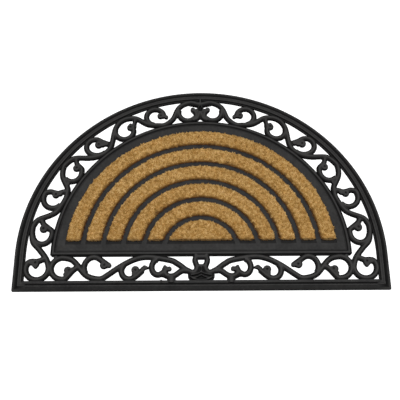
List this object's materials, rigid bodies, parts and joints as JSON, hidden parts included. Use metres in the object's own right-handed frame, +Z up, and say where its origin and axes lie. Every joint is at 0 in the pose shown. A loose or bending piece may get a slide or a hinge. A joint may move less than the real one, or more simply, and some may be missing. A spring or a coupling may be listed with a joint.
{
  "type": "half-round coir doormat",
  "caption": "Half-round doormat: a moulded rubber base with an openwork scroll border round concentric arches of coir.",
  "frame": {"origin": "middle of the mat's outline, on the face that lies on the floor", "axes": "+X across the mat, along its straight edge; +Y from the straight edge towards the arch; +Z up, out of the coir"},
  "size_m": [0.75, 0.45, 0.011],
  "materials": {
    "rubber": "satin charcoal moulded rubber",
    "coir": "short cut coir pile, golden tan"
  },
  "bodies": {
    "root": {"rubber_base": "rubber", "coir_half_disc": "coir", "coir_arch_1": "coir", "coir_arch_2": "coir", "coir_arch_3": "coir", "coir_arch_4": "coir", "coir_arch_5": "coir"}
  },
  "joints": []
}
